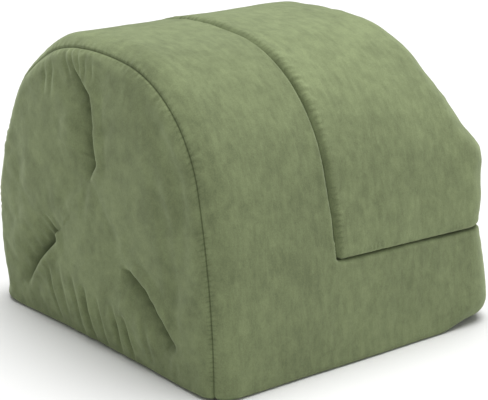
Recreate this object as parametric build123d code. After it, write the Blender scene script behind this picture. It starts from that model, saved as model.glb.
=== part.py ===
from build123d import *
import math
import os

# Camp pillow: an arched foam base with a step cut out of one end, and a second
# foam cushion that completes the arch and lifts off the step. Both have sewn
# fabric covers that open with a coil zipper along the back.
# Frame: +X along the arch's length (from the tucked end to the stepped end),
# -Y front, +Z up. Origin: centre of the underside. Millimetres.

# ---- driving dimensions ----
LENGTH = 308.0          # along X, at the foot
DEPTH = 330.0           # along Y, at the underside
HEIGHT = 257.0          # crown of the arch
R_CROWN = 305.0         # the arch is tangent arcs: a crown,
R_SHOULDER = 121.0      # two round shoulders,
R_SIDE = 735.0          # and two gently bowed sides
END_BOW_Z = 60.0        # the stepped end stands upright to here,
END_BOW_R = 458.0       # and above it bows in towards the crown
END_R = 22.0            # soft rounding between the ends and the arch
FOOT_R = 5.0            # soft rounding round the underside
STEP_X = -29.0          # foot of the step's wall
STEP_Z = 87.0           # height of the step's deck
STEP_LEAN = 0.05        # the wall leans away from the cushion by this much per unit of height
FABRIC = 1.5            # microsuede laminated to its backing
GAP_X = 1.5             # between the base's upright wall and the cushion
GAP_Z = 3.0             # between the deck and the cushion, filled by the touch tape
EASE = 0.3              # foam to fabric
SEAM_IN = 22.0          # the end panels' seam, in from the end
WADDING = 16.0          # fibre pad between an end panel and the foam

X0, X1 = -LENGTH / 2, LENGTH / 2


def arch_arcs(inset):
    """The arch as tangent arcs (crown, two shoulders, two sides), moved in by inset.
    Returns its points in (y, z): foot, side-to-shoulder, shoulder-to-crown, crown, and the radii."""
    c_crown = (0.0, HEIGHT - R_CROWN)
    c_side = (DEPTH / 2 - R_SIDE, 0.0)
    # the shoulder's centre is where it touches the crown's arc and the side's arc from inside
    ra, rb = R_CROWN - R_SHOULDER, R_SIDE - R_SHOULDER
    dx, dz = c_side[0] - c_crown[0], c_side[1] - c_crown[1]
    d = math.hypot(dx, dz)
    t = (ra * ra - rb * rb + d * d) / (2 * d)
    h = math.sqrt(ra * ra - t * t)
    ex, ez = dx / d, dz / d
    options = [(c_crown[0] + ex * t - ez * h * s, c_crown[1] + ez * t + ex * h * s) for s in (1, -1)]
    c_sh = max(options, key=lambda c: c[0] + c[1])

    def on(centre, radius, angle):
        return (centre[0] + radius * math.cos(angle), centre[1] + radius * math.sin(angle))

    a_side = math.atan2(c_sh[1] - c_side[1], c_sh[0] - c_side[0])
    a_crown = math.atan2(c_sh[1] - c_crown[1], c_sh[0] - c_crown[0])
    r_side, r_sh, r_crown = R_SIDE - inset, R_SHOULDER - inset, R_CROWN - inset
    a_foot = math.asin(inset / r_side)
    foot = on(c_side, r_side, a_foot)
    mid_side = on(c_side, r_side, (a_foot + a_side) / 2)
    low = on(c_side, r_side, a_side)
    mid_sh = on(c_sh, r_sh, (a_side + a_crown) / 2)
    high = on(c_sh, r_sh, a_crown)
    crown = (0.0, HEIGHT - inset)
    return foot, mid_side, low, mid_sh, high, crown


def slab(x0, x1, y0, y1, z0, z1):
    return Pos((x0 + x1) / 2, (y0 + y1) / 2, (z0 + z1) / 2) * Box(x1 - x0, y1 - y0, z1 - z0)


BIG = 1000.0


def side_prism(lines):
    """A closed outline in (x, z), drawn by lines, carried right through in Y."""
    face = Plane.XZ * make_face(lines)
    return Pos(0, BIG, 0) * extrude(face, amount=2 * BIG, dir=(0, -1, 0))


def arch_prism(inset):
    foot, mid_side, low, mid_sh, high, crown = arch_arcs(inset)

    def m(p):
        return (-p[0], p[1])

    curve = [
        ThreePointArc(foot, mid_side, low),
        ThreePointArc(low, mid_sh, high),
        ThreePointArc(high, crown, m(high)),
        ThreePointArc(m(high), m(mid_sh), m(low)),
        ThreePointArc(m(low), m(mid_side), m(foot)),
        Line(m(foot), foot),
    ]
    face = Plane.YZ * make_face(curve)            # local X -> Y, local Y -> Z
    return Pos(-300, 0, 0) * extrude(face, amount=600, dir=(1, 0, 0))


def end_prism(inset):
    """Between the flat tucked end and the bowed stepped end, over the underside."""
    top = 400.0
    r = END_BOW_R - inset
    cx = X1 - END_BOW_R

    def bow(z):
        return (cx + math.sqrt(r * r - (z - END_BOW_Z) ** 2), z)

    x0, x1 = X0 + inset, X1 - inset
    return side_prism([
        Line((x0, inset), (x1, inset)),
        Line((x1, inset), (x1, END_BOW_Z)),
        ThreePointArc((x1, END_BOW_Z), bow((END_BOW_Z + top) / 2), bow(top)),
        Line(bow(top), (x0, top)),
        Line((x0, top), (x0, inset)),
    ])


def beyond_wall(dx):
    """Everything on the cushion's side of the leaning wall, the wall moved by dx."""
    low, high = -100.0, 500.0

    def at(z):
        return STEP_X + dx - STEP_LEAN * (z - STEP_Z)

    return side_prism([
        Line((at(low), low), (BIG, low)),
        Line((BIG, low), (BIG, high)),
        Line((BIG, high), (at(high), high)),
        Line((at(high), high), (at(low), low)),
    ])


AUTO = {}


def whole(inset):
    key = round(inset, 3)
    if key not in AUTO:
        solid = arch_prism(inset) & end_prism(inset)
        foot_edges = [e for e in solid.edges() if e.center().Z < inset + 0.01]
        end_edges = [e for e in solid.edges() if e.center().Z >= inset + 0.01
                     and (abs(e.center().X) > X1 - 70) and e.bounding_box().size.X < 120
                     and e.bounding_box().size.Y > 0.5]
        solid = fillet(end_edges, END_R - inset)
        solid = fillet([e for e in solid.edges() if e.bounding_box().max.Z < inset + 0.01], FOOT_R - inset)
        AUTO[key] = solid
    return AUTO[key]


def base_form(inset):
    return whole(inset) - (beyond_wall(-inset) & slab(-BIG, BIG, -BIG, BIG, STEP_Z - inset, BIG))


def cushion_form(inset):
    return whole(inset) & beyond_wall(GAP_X + inset) & slab(-BIG, BIG, -BIG, BIG, STEP_Z + GAP_Z + inset, BIG)


def half_width_at(z):
    """Half the depth at height z, below the shoulders."""
    return DEPTH / 2 - R_SIDE + math.sqrt(R_SIDE ** 2 - z ** 2)


parts = {}

# ---- covers: thin sewn shells, split at their seams into the panels they are cut from ----
base_shell = base_form(0) - base_form(FABRIC)
left_cut = slab(-BIG, X0 + SEAM_IN, -BIG, BIG, -BIG, BIG)
right_cut = slab(X1 - SEAM_IN, BIG, -BIG, BIG, -BIG, BIG)
upper_end_cut = side_prism([
    Line((X1 - SEAM_IN, 0), (BIG, 0)), Line((BIG, 0), (BIG, 500)), Line((BIG, 500), (X1 - SEAM_IN - 150, 500)),
    Line((X1 - SEAM_IN - 150, 500), (X1 - SEAM_IN, STEP_Z)), Line((X1 - SEAM_IN, STEP_Z), (X1 - SEAM_IN, 0))])
foot_cut = slab(-BIG, BIG, -BIG, BIG, -BIG, 6.0)
step_cut = beyond_wall(-FABRIC) & slab(-BIG, BIG, -BIG, BIG, STEP_Z - FABRIC, BIG)

left_end_panel = base_shell & left_cut
rest = base_shell - left_cut
base_right_panel = rest & (right_cut - step_cut)
rest = rest - (right_cut - step_cut)
base_bottom_panel = rest & foot_cut
rest = rest - foot_cut
step_panel = rest & step_cut
base_wrap_panel = rest - step_cut

cushion_shell = cushion_form(0) - cushion_form(FABRIC)
past_inner = beyond_wall(GAP_X + FABRIC)
floor_cut = slab(-BIG, BIG, -BIG, BIG, -BIG, STEP_Z + GAP_Z + FABRIC)
cushion_inner_panel = cushion_shell - past_inner
rest = cushion_shell & past_inner
cushion_bottom_panel = rest & floor_cut
rest = rest - floor_cut
cushion_end_panel = rest & upper_end_cut
cushion_wrap_panel = rest - upper_end_cut

# ---- foam and wadding ----
inset = FABRIC + EASE
foam = base_form(inset)
left_pad_x = X0 + inset + WADDING
right_pad_x = X1 - inset - WADDING
arch_end = beyond_wall(-inset)
parts["left_end_wadding"] = foam & slab(-BIG, left_pad_x, -BIG, BIG, -BIG, BIG)
rest = foam & slab(left_pad_x + EASE, BIG, -BIG, BIG, -BIG, BIG)
parts["arch_foam_block"] = rest - arch_end
parts["plinth_foam_block"] = rest & beyond_wall(-inset + EASE) & slab(-BIG, right_pad_x - EASE, -BIG, BIG, -BIG, BIG)
parts["plinth_end_wadding"] = foam & slab(right_pad_x, BIG, -BIG, BIG, -BIG, BIG)
core = cushion_form(inset)


def pad_cut(dx):
    """Outside a slope that follows the bowed end, moved in by dx."""
    return side_prism([
        Line((X1 - WADDING - dx, 0), (BIG, 0)), Line((BIG, 0), (BIG, 500)), Line((BIG, 500), (X1 - WADDING - dx - 126, 500)),
        Line((X1 - WADDING - dx - 126, 500), (X1 - WADDING - dx, STEP_Z)), Line((X1 - WADDING - dx, STEP_Z), (X1 - WADDING - dx, 0))])


parts["cushion_foam_block"] = core - pad_cut(2 * EASE)
parts["cushion_end_wadding"] = core & pad_cut(0)

# ---- touch tape that keeps the cushion on the deck ----
TAPE_W, TAPE_L, TAPE_T = 38.0, 190.0, 1.3
tape_x = (STEP_X + X1) / 2
parts["loop_tape"] = Pos(tape_x, 0, STEP_Z + TAPE_T / 2) * Box(TAPE_W, TAPE_L, TAPE_T)
parts["hook_tape"] = Pos(tape_x, 0, STEP_Z + GAP_Z - TAPE_T / 2) * Box(TAPE_W, TAPE_L, TAPE_T)

# ---- tucks: three runs of thread that pull the left end panel into its wadding ----
TUCKS = [((-9.0, 204.0), (-14.0, 148.0)), ((48.0, 82.0), (84.0, 40.0)), ((-52.0, 84.0), (-103.0, 34.0))]
threads, grooves = [], []
for (ya, za), (yb, zb) in TUCKS:
    run = math.hypot(yb - ya, zb - za)
    angle = math.degrees(math.atan2(zb - za, yb - ya))
    place = Pos(X0, (ya + yb) / 2, (za + zb) / 2) * Rot(angle, 0, 0)
    grooves.append(place * Box(2.0, run + 2.0, 2.0))
    threads.append(place * Pos(0.55, 0, 0) * Rot(90, 0, 0) * Cylinder(0.4, run))
for g in grooves:
    left_end_panel = left_end_panel - g
parts["tuck_stitching"] = Compound(children=[t.solid() if hasattr(t, "solid") else t for t in threads])

# ---- zippers ----
TAPE_H = 24.0       # both tapes together
COIL_H, COIL_T = 4.6, 1.8
SL_L, SL_H, SL_T = 11.0, 8.6, 3.4      # slider body, along the run, across it, and out of it
AIR = 0.35


def zipper(z_mid, x_from, x_to):
    """A closed coil zipper on the back face at height z_mid between two X planes.
    Returns the cutter for the tapes, the chain, its stops, the slider, the pull, and the frame."""
    y = half_width_at(z_mid)
    step = 0.5
    slope = (half_width_at(z_mid + step) - half_width_at(z_mid - step)) / (2 * step)
    up = Vector(0, slope, 1).normalized()
    out = Vector(0, 1, -slope).normalized()
    frame = Plane(origin=(0, y, z_mid), x_dir=(1, 0, 0), z_dir=(out.X, out.Y, out.Z))
    # local x = +X; local z = outward; local y = z cross x, which is down or up the face
    flip = 1 if frame.y_dir.dot(up) > 0 else -1
    at = frame.location
    run = x_to - x_from
    mid = (x_from + x_to) / 2
    cutter = at * Pos(mid, 0, 0) * Box(run, TAPE_H, 12.0)
    slit = at * Pos(mid, 0, 0) * Box(run + 2.0, 0.8, 12.0)
    coil = at * Pos(mid, 0, COIL_T / 2 + 0.15) * Box(run - 8.0, COIL_H, COIL_T)
    stops = []
    for sx in (x_from + 2.0, x_to - 2.0):
        stops.append(at * Pos(sx, 0, COIL_T / 2 + 0.25) * Box(3.0, COIL_H + 1.2, COIL_T + 0.2))
    start = x_from + 5.0 + SL_L / 2
    body = Pos(start, 0, AIR + SL_T / 2) * Box(SL_L, SL_H, SL_T)
    body = body - Pos(start, 0, (COIL_T + 0.15 + AIR) / 2) * Box(SL_L + 2, COIL_H + 2 * AIR, COIL_T + 0.15 + AIR)
    top = AIR + SL_T
    bail = Pos(start, 0, top + 1.5) * Box(7.4, 2.0, 3.0) - Pos(start, 0, top + 1.05) * Box(5.0, 3.0, 2.1)
    slider = at * (body + bail)
    pin_z = top + 1.05
    # the pull's cross bar lies under the bail; its arms pass either side of it
    bar = Pos(start, 0, pin_z) * Rot(90, 0, 0) * Cylinder(0.7, 6.4)
    arms = [Pos(start + 3.2, s * 2.6, pin_z) * Box(6.4, 1.2, 1.4) for s in (-1, 1)]
    blade = Pos(start + 6.4 + 9.0, 0, pin_z) * Box(18.0, 6.4, 1.4)
    blade = blade - Pos(start + 6.4 + 14.5, 0, pin_z) * Cylinder(1.4, 6.0)
    pull = bar + arms[0] + arms[1] + blade
    pull = at * pull
    pin = at * Pos(start, 0, pin_z)
    return dict(cutter=cutter, slit=slit, coil=coil, stops=stops, slider=slider, pull=pull,
                pin=pin.position, axis=(up.X, up.Y, up.Z), flip=flip, travel=(x_to - 5.0 - SL_L / 2) - start)


def one_solid(shape):
    """The shape's solids as plain parts, whatever kind of object the boolean gave."""
    solids = shape.solids()
    return solids[0] if len(solids) == 1 else Compound(children=list(solids))


BASE_ZIP_Z, CUSHION_ZIP_Z = 36.0, 110.0
base_zip = zipper(BASE_ZIP_Z, -112.0, 112.0)
parts["base_zip_tapes"] = (base_wrap_panel & base_zip["cutter"]) - base_zip["slit"]
base_wrap_panel = base_wrap_panel - base_zip["cutter"]
cushion_zip = zipper(CUSHION_ZIP_Z, -14.0, 118.0)
parts["cushion_zip_tapes"] = (cushion_wrap_panel & cushion_zip["cutter"]) - cushion_zip["slit"]
cushion_wrap_panel = cushion_wrap_panel - cushion_zip["cutter"]
for name, z in (("base_zip", base_zip), ("cushion_zip", cushion_zip)):
    parts[name + "_coil"] = z["coil"]
    parts[name + "_stops"] = Compound(children=[s.solid() for s in z["stops"]])
    parts[name + "_slider"] = z["slider"]
    parts[name + "_pull"] = z["pull"]
    print(name, "pin", tuple(round(v, 3) for v in z["pin"]), "axis", tuple(round(v, 5) for v in z["axis"]),
          "travel", round(z["travel"], 2))

parts["left_end_panel"] = left_end_panel
parts["base_right_panel"] = base_right_panel
parts["base_bottom_panel"] = base_bottom_panel
parts["step_panel"] = step_panel
parts["base_wrap_panel"] = base_wrap_panel
parts["cushion_inner_panel"] = cushion_inner_panel
parts["cushion_bottom_panel"] = cushion_bottom_panel
parts["cushion_end_panel"] = cushion_end_panel
parts["cushion_wrap_panel"] = cushion_wrap_panel

os.makedirs("parts", exist_ok=True)
for name, shape in parts.items():
    shape = one_solid(shape)
    export_step(shape, f"parts/{name}.step")
    print(name, "solids", len(shape.solids()), "volume", round(shape.volume, 1))
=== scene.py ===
import math

import bmesh
import bpy
import numpy as np
from mathutils import Matrix, Vector


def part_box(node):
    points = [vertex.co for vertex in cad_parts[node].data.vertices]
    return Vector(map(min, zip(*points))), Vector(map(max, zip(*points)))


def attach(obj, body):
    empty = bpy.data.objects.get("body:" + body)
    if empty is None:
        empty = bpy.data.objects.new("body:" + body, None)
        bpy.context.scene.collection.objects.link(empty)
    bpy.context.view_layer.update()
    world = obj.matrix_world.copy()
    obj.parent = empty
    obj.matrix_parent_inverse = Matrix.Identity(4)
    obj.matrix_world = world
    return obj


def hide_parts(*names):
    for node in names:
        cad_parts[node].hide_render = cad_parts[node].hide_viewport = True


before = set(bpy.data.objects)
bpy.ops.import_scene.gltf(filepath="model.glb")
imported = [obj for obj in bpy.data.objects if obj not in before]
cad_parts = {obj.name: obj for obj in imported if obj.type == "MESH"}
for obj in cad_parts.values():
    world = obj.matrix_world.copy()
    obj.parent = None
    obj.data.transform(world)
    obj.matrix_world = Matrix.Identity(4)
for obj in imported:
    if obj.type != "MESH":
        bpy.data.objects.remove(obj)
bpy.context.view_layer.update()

MM = 0.001

# ---------------------------------------------------------------- the arch, as in the CAD, in millimetres
DEPTH, HEIGHT = 330.0, 256.8
R_CROWN, R_SHOULDER, R_SIDE = 305.0, 120.5, 735.0
XL, XR = -154.0, 154.5
XM, ZS = -29.0, 87.0            # the step's wall and deck
LEAN, FALL = 0.05, 0.016        # the wall leans, and the deck's outer edge falls a little to its end
GX, GZ = 0.7, 0.7               # the cushion's clearances at its edges: it rolls down over the gap
INNER_GAP = 2.3                 # and how much more there is inside, where the touch tape is

C_CROWN = np.array([0.0, HEIGHT - R_CROWN])
C_SIDE = np.array([DEPTH / 2 - R_SIDE, 0.0])


def _shoulder():
    ra, rb = R_CROWN - R_SHOULDER, R_SIDE - R_SHOULDER
    d = C_SIDE - C_CROWN
    n = np.linalg.norm(d)
    t = (ra * ra - rb * rb + n * n) / (2 * n)
    h = math.sqrt(ra * ra - t * t)
    e = d / n
    q = np.array([-e[1], e[0]])
    return max((C_CROWN + e * t + q * h * s for s in (1, -1)), key=lambda c: c[0] + c[1])


C_SH = _shoulder()
A_CROWN = math.atan2(*(C_SH - C_CROWN)[::-1])
A_SIDE = math.atan2(*(C_SH - C_SIDE)[::-1])


def arch(p):
    """Signed distance to the arch, negative inside."""
    y, z = np.abs(p[:, 1]), p[:, 2]
    av = np.arctan2(z - C_SH[1], y - C_SH[0])
    d1 = np.hypot(y - C_CROWN[0], z - C_CROWN[1]) - R_CROWN
    d2 = np.hypot(y - C_SH[0], z - C_SH[1]) - R_SHOULDER
    d3 = np.hypot(y - C_SIDE[0], z - C_SIDE[1]) - R_SIDE
    out = np.where(av > A_CROWN, d1, np.where(av < A_SIDE, d3, d2))
    return np.where(av < -1.9, d1, out)


def rmax(a, b, r):
    """Both of two solids, with the edge between them rounded to radius r."""
    ua, ub = np.maximum(a + r, 0), np.maximum(b + r, 0)
    return np.minimum(-r, np.maximum(a, b)) + np.hypot(ua, ub)


def rmin(a, b, r):
    ua, ub = np.maximum(r - a, 0), np.maximum(r - b, 0)
    return np.maximum(r, np.minimum(a, b)) - np.hypot(ua, ub)


def smooth(t):
    t = np.clip(t, 0, 1)
    return t * t * (3 - 2 * t)


def bump(d, w):
    """1 at d = 0, falling smoothly to 0 at d = w."""
    t = np.clip(np.abs(d) / w, 0, 1)
    return (1 - t * t) ** 2


# ---------------------------------------------------------------- seeded smooth noise, in millimetres
def lattice(p, cell, seed):
    """Value noise from a hashed lattice, from -1 to 1."""
    q = p / cell + seed * 17.31
    i = np.floor(q).astype(np.int64)
    f = q - i
    f = f * f * f * (f * (f * 6 - 15) + 10)
    out = np.zeros(len(p))
    for dx in (0, 1):
        for dy in (0, 1):
            for dz in (0, 1):
                h = (i[:, 0] + dx) * 374761393 + (i[:, 1] + dy) * 668265263 + (i[:, 2] + dz) * 2147483647 + seed * 974711
                h = (h ^ (h >> 13)) * 1274126177
                h = (h ^ (h >> 16)) & 0xFFFF
                w = (f[:, 0] if dx else 1 - f[:, 0]) * (f[:, 1] if dy else 1 - f[:, 1]) * (f[:, 2] if dz else 1 - f[:, 2])
                out += w * (h / 32767.5 - 1)
    return out


def fbm(p, cell, seed, octaves=3):
    out, amp, total = np.zeros(len(p)), 1.0, 0.0
    for k in range(octaves):
        out += amp * lattice(p, cell / 2 ** k, seed + k)
        total += amp
        amp *= 0.5
    return out / total


# ---------------------------------------------------------------- the two soft forms as rounded solids
R_NEAR, R_FAR, R_FOOT = 25.0, 27.0, 4.5

# the two zippers at the back: the run in x and the height of the middle, and half the height of the opening
ZIPS = {"base": None, "cushion": None}
for _body in ZIPS:
    _lo, _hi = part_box(_body + "_zip_tapes")
    ZIPS[_body] = (_lo[0] / MM, _hi[0] / MM, (_lo[2] + _hi[2]) / 2 / MM)
ZIP_OPEN = 6.6


def side_y(z):
    """The back face's y at height z, on the arch's lower arc."""
    return C_SIDE[0] + np.sqrt(R_SIDE ** 2 - np.asarray(z, float) ** 2)


def window(p, body):
    """How far a point is inside the zipper's opening, in millimetres, below zero outside it."""
    x0, x1, zm = ZIPS[body]
    w = np.minimum(np.minimum(p[:, 0] - x0 - 2.5, x1 - 2.5 - p[:, 0]), ZIP_OPEN - np.abs(p[:, 2] - zm) * 1.005)
    return np.where(p[:, 1] > 60, w, -99.0)


def zip_zone(p):
    """1 on the cloth round a zipper, where it lies flat on the CAD's face, falling to 0 some 30 mm away."""
    out = np.zeros(len(p))
    for body in ZIPS:
        out = np.maximum(out, smooth((window(p, body) + 46.0) / 38.0))
    return out


# how far the cover draws in (or, below zero, fills out) at each height, near the stepped end and at the back of the other
FAR_Z = [0, 15, 40, 66, 87, 110, 137, 150, 163, 180, 196, 210, 222, 231, 238, 244, 252, 257]
FAR_IN = [-2.6, -3.0, -0.6, 1.6, 1.8, 1.2, 1.0, -1.2, 3.2, 4.9, 6.0, 6.9, 6.3, 5.2, 3.8, 3.6, 5.0, 1.6]
BACK_Z = [0, 5, 11, 44, 66, 105, 143, 165, 187, 215, 225, 238, 257]
BACK_IN = [0.8, 3.8, 4.8, 4.0, 0.2, -2.5, 1.3, 6.0, 5.4, 5.6, 6.2, 5.0, 0.8]


def drawn_in(p):
    x, y, z = p.T
    far = sum(np.interp(z + k, FAR_Z, FAR_IN) for k in (-9, -4, 0, 4, 9)) / 5 * smooth((x - 45) / 90.0)
    back = sum(np.interp(z + k, BACK_Z, BACK_IN) for k in (-6, 0, 6)) / 3 * smooth((y - 20) / 70.0) * smooth((-x - 50) / 80.0)
    # the front's foot swells a little between its corners
    front = -1.9 * smooth((18 - z) / 18.0) * smooth(-y / 40.0) * bump(x - 25, 110)
    return far + back + front


def shell(p):
    """The arch, a little fuller towards the stepped end."""
    x, y, z = p.T
    grow = 6.0 * np.clip((x + 15) / 158.0, 0, 1.1) ** 2 * np.clip((z + 20) / 140.0, 0, 1)
    back = smooth((y - 60) / 60.0) * smooth((-x - 80) / 60.0)
    grow = grow + back * (3.5 * np.exp(-(((z - 105) / 55.0) ** 2)) - 5.0 * np.exp(-(((z - 12) / 24.0) ** 2)))
    zone = zip_zone(p)
    return arch(p) + (drawn_in(p) - grow) * (1 - zone) - 0.6 * zone


def far_end(p):
    y, z = p[:, 1], p[:, 2]
    x = XR - 37.0 * np.clip((z - 60) / 185.0, 0, 1.3) ** 2 - 3.3 * (np.abs(y) / 165.0) ** 4
    # fullest at the shoulders, pinched where the cushion meets the base
    x = x + 6.0 * np.exp(-(((z - 150) / 26.0) ** 2)) * np.exp(-(((np.abs(y) - 150) / 45.0) ** 2))
    return p[:, 0] - (x - 3.5 * np.exp(-(((z - ZS) / 15.0) ** 2))) + drawn_in(p)


def near_end(p):
    y, z = p[:, 1], p[:, 2]
    full = 2.5 * np.clip(1 - ((y / 150) ** 2 + ((z - 100) / 150) ** 2), 0, 1) * smooth(z / 40.0)
    return XL - full + 3.2 * smooth((16 - z) / 16.0) * bump(y, 150) - p[:, 0]


def foot_radius(p):
    """The foot's edge is tight at the front and back, and rounder at the ends' corners."""
    x, y = p[:, 0], np.abs(p[:, 1])
    return R_FOOT + 18.0 * smooth((x - 82) / 50.0) * smooth((y - 90) / 60.0) + 2.0 * smooth((-x - 115) / 35.0) * smooth((y - 110) / 45.0)


def wall(p):
    return p[:, 0] - (XM - LEAN * (p[:, 2] - ZS))


def inside(p):
    """0 at the arch's surface, 1 well inside."""
    return smooth((-shell(p) - 8.0) / 22.0)


def deck(p):
    return p[:, 2] - (ZS - FALL * np.maximum(p[:, 0] - XM, 0) * (1 - inside(p)))


def form_base(p):
    d = rmax(shell(p), near_end(p), R_NEAR)
    d = rmax(d, far_end(p), R_FAR)
    d = rmax(d, -p[:, 2], foot_radius(p))
    return rmax(d, rmin(wall(p), deck(p), 3.0), 3.5)


def form_cushion(p):
    d = rmax(shell(p) - 1.2, far_end(p), R_FAR)
    d = rmax(d, GX - wall(p), 7.0)
    return rmax(d, GZ + INNER_GAP * inside(p) - deck(p), 5.5)


def gradient(form, p, h=0.15):
    g = np.empty_like(p)
    for k in range(3):
        e = np.zeros(3)
        e[k] = h
        g[:, k] = (form(p + e) - form(p - e)) / (2 * h)
    return g


def project(form, p, steps=5):
    for _ in range(steps):
        f, g = form(p), gradient(form, p)
        n2 = np.maximum((g * g).sum(1), 0.2)
        p = p - (np.clip(f, -6, 6) / n2)[:, None] * g
    g = gradient(form, p)
    return p, g / np.maximum(np.linalg.norm(g, axis=1), 1e-9)[:, None]


# ---------------------------------------------------------------- mesh helpers
def coords(mesh):
    co = np.empty(len(mesh.vertices) * 3, np.float32)
    mesh.vertices.foreach_get("co", co)
    return co.reshape(-1, 3).astype(float)


def set_coords(mesh, co):
    mesh.vertices.foreach_set("co", co.astype(np.float32).ravel())
    mesh.update()


def activate(ob):
    bpy.ops.object.select_all(action="DESELECT")
    ob.select_set(True)
    bpy.context.view_layer.objects.active = ob


def new_object(name, verts, faces):
    mesh = bpy.data.meshes.new(name)
    mesh.from_pydata([tuple(v) for v in verts], [], [tuple(f) for f in faces])
    mesh.update()
    ob = bpy.data.objects.new(name, mesh)
    bpy.context.scene.collection.objects.link(ob)
    return ob


def profile(z_low, z_cut=None, count=120):
    """The arch's outline in (y, z), millimetres, from the front foot over the crown, closed by its foot."""
    pts = []
    for i in range(count + 1):
        a = math.pi * i / count
        lo, hi = 0.0, 400.0
        for _ in range(40):
            m = (lo + hi) / 2
            q = np.array([[0.0, -m * math.cos(a), z_low + m * math.sin(a)]])
            if arch(q)[0] < 0:
                lo = m
            else:
                hi = m
        y, z = -lo * math.cos(a), z_low + lo * math.sin(a)
        if z_cut is not None:
            z = min(z, z_cut)
        pts.append((y, z))
    return pts


def prism(name, pts, x0, x1):
    n = len(pts)
    verts = [(x0 * MM, y * MM, z * MM) for y, z in pts] + [(x1 * MM, y * MM, z * MM) for y, z in pts]
    faces = [(i, (i + 1) % n, n + (i + 1) % n, n + i) for i in range(n)]
    faces += [tuple(range(n - 1, -1, -1)), tuple(range(n, 2 * n))]
    return new_object(name, verts, faces)


def remesh(ob, size):
    activate(ob)
    mod = ob.modifiers.new("r", "REMESH")
    mod.mode = "VOXEL"
    mod.voxel_size = size * MM
    mod.adaptivity = 0
    bpy.ops.object.modifier_apply(modifier=mod.name)


def join(a, b):
    bpy.ops.object.select_all(action="DESELECT")
    a.select_set(True)
    b.select_set(True)
    bpy.context.view_layer.objects.active = a
    bpy.ops.object.join()
    return a


def subdivide(ob, levels):
    activate(ob)
    mod = ob.modifiers.new("s", "SUBSURF")
    mod.levels = levels
    mod.render_levels = levels
    mod.use_limit_surface = False
    bpy.ops.object.modifier_apply(modifier=mod.name)


def relax(ob, form, rounds=3):
    """Evens the quads over the form: each point moves to its neighbours' mean, then back onto the form."""
    me = ob.data
    e = np.empty(len(me.edges) * 2, np.int32)
    me.edges.foreach_get("vertices", e)
    e = e.reshape(-1, 2)
    co = coords(me) / MM
    count = np.bincount(e.ravel(), minlength=len(co)).astype(float)[:, None]
    for _ in range(rounds):
        total = np.zeros_like(co)
        np.add.at(total, e[:, 0], co[e[:, 1]])
        np.add.at(total, e[:, 1], co[e[:, 0]])
        co = 0.5 * co + 0.5 * total / count
        co, _ = project(form, co, 2)
    set_coords(me, co * MM)


# ---------------------------------------------------------------- the tucks and folds of the near end panel, (y, z) in millimetres
TUCK_LINES = [
    # each runs outwards or down, with the depth at each (y, z); its slack side is on the left of that run
    ([(18, 228), (11, 221), (3, 215), (-5, 209), (-8, 198), (-9, 189), (-9, 176), (-11, 164), (-12, 159), (-7, 152), (-3, 141)],
     [2.0, 5.0, 8.0, 10.0, 11.0, 11.5, 11.5, 11.0, 9.5, 6.0, 0.0]),
    ([(53, 80), (60, 74), (68, 67), (77, 59), (86, 49), (95, 38), (103, 25)],
     [7.5, 11.0, 11.5, 10.5, 8.5, 5.0, 0.0]),
    ([(-49, 80), (-57, 78), (-68, 73), (-79, 67), (-90, 58), (-100, 47), (-108, 36), (-117, 29)],
     [0.0, 5.0, 8.5, 10.5, 11.0, 10.0, 6.5, 0.0]),
]
# shallow folds: points, depth in the middle, half width
FOLDS = [
    ([(62, 96), (58, 86), (53, 80)], 3.0, 5.0),
    ([(-108, 36), (-102, 28)], 2.5, 4.0),
    ([(62, 56), (58, 34), (52, 10)], 2.4, 5.5),
    ([(44, 56), (41, 34), (37, 10)], 1.4, 6.0),
    ([(24, 52), (21, 32), (18, 6)], 3.0, 7.0),
    ([(6, 48), (5, 30), (3, 5)], 4.2, 6.5),
    ([(-13, 44), (-14, 28), (-16, 6)], 2.2, 5.0),
    ([(-34, 42), (-35, 26), (-37, 6)], 3.6, 6.0),
    ([(-49, 38), (-51, 24), (-54, 5)], 4.0, 5.5),
    ([(-74, 46), (-78, 30), (-82, 12)], 1.6, 6.0),
    ([(63, 226), (60, 216), (59, 204)], 1.3, 4.5),
    ([(51, 228), (50, 218), (48, 204)], 1.4, 4.5),
    ([(34, 240), (29, 230), (22, 218)], 1.4, 4.0),
    ([(25, 243), (19, 232), (14, 224)], 1.8, 3.6),
    ([(14, 243), (9, 233), (5, 223)], 1.7, 3.4),
    ([(3, 240), (0, 230), (-1, 222)], 1.4, 3.4),
    ([(-8, 238), (-9, 230), (-9, 222)], 0.9, 3.2),
    ([(-80, 212), (-100, 190), (-117, 168), (-124, 139), (-124, 104), (-120, 70)], 3.4, 17.0),
    ([(-92, 168), (-106, 132), (-112, 92), (-116, 44)], 2.6, 13.0),
    ([(96, 150), (104, 128), (106, 100)], 2.0, 20.0),
    ([(-3, 141), (0, 128), (2, 112)], 1.4, 9.0),
    ([(48, 100), (38, 112), (28, 120)], 0.9, 12.0),
]


def line_field(q, pts, vals):
    """For points q in 2D: distance to the polyline, the value there, and which side (sign)."""
    best = np.full(len(q), 1e9)
    val, side, run = np.zeros(len(q)), np.zeros(len(q)), np.zeros(len(q))
    walked = 0.0
    for (a, b), (va, vb) in zip(zip(pts[:-1], pts[1:]), zip(vals[:-1], vals[1:])):
        a, b = np.array(a, float), np.array(b, float)
        d = b - a
        n = np.linalg.norm(d)
        t = np.clip(((q - a) @ d) / (n * n), 0, 1)
        near = a + t[:, None] * d
        r = np.linalg.norm(q - near, axis=1)
        m = r < best
        best = np.where(m, r, best)
        val = np.where(m, va + (vb - va) * t, val)
        run = np.where(m, walked + t * n, run)
        c = d[0] * (q[:, 1] - a[1]) - d[1] * (q[:, 0] - a[0])
        side = np.where(m, np.sign(c), side)
        walked += n
    return best, val, side, run


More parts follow.
